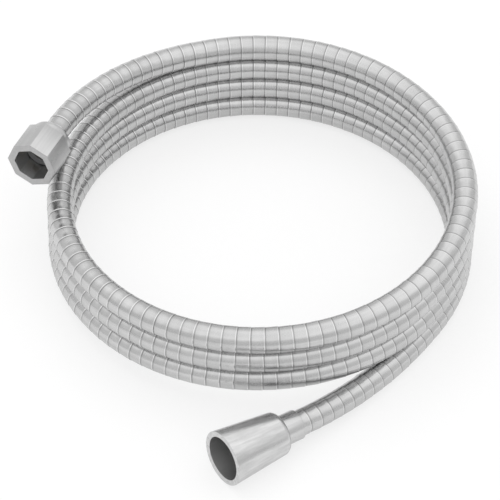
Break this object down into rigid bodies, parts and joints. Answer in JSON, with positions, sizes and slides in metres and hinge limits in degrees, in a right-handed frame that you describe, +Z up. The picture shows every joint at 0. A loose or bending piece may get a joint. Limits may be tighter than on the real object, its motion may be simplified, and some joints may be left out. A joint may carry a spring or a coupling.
{
  "type": "shower hose",
  "caption": "Flexible metal shower hose lying in a coil, with a smooth conical swivel nut on one end and an octagonal swivel nut on the other.",
  "frame": {"origin": "on the floor under the middle of the bounding box", "axes": "+Z up, the shortest side of the lying coil; +Y away from the conical nut, along the longest side; +X to the right as the conical nut's end lies nearest"},
  "size_m": [0.254, 0.2906, 0.0725],
  "materials": {
    "hose_steel": "satin",
    "cone_nut_metal": "satin",
    "octagon_nut_metal": "satin",
    "sleeve_steel": "satin",
    "brass": "satin",
    "tube_plastic": "matte",
    "slip_ring_plastic": "matte",
    "washer_rubber": "matte"
  },
  "bodies": {
    "hose": {"steel_casing": "hose_steel", "inner_tube": "tube_plastic", "cone_end_tail": "brass", "cone_end_sleeve": "sleeve_steel", "cone_end_slip_ring": "slip_ring_plastic", "octagon_end_tail": "brass", "octagon_end_sleeve": "sleeve_steel", "octagon_end_slip_ring": "slip_ring_plastic"},
    "cone_nut": {"cone_nut": "cone_nut_metal", "cone_end_washer": "washer_rubber"},
    "octagon_nut": {"octagon_nut": "octagon_nut_metal", "octagon_end_washer": "washer_rubber"}
  },
  "joints": [
    {"name": "cone_nut_spin", "type": "hinge", "parent": "hose", "child": "cone_nut", "pos_m": [-0.00593, -0.13347, 0.01494], "axis": [-0.8037, -0.5889, 0.0853], "continuous": true},
    {"name": "octagon_nut_spin", "type": "hinge", "parent": "hose", "child": "octagon_nut", "pos_m": [-0.11403, 0.03049, 0.05837], "axis": [-0.3784, -0.9249, 0.036], "continuous": true}
  ]
}
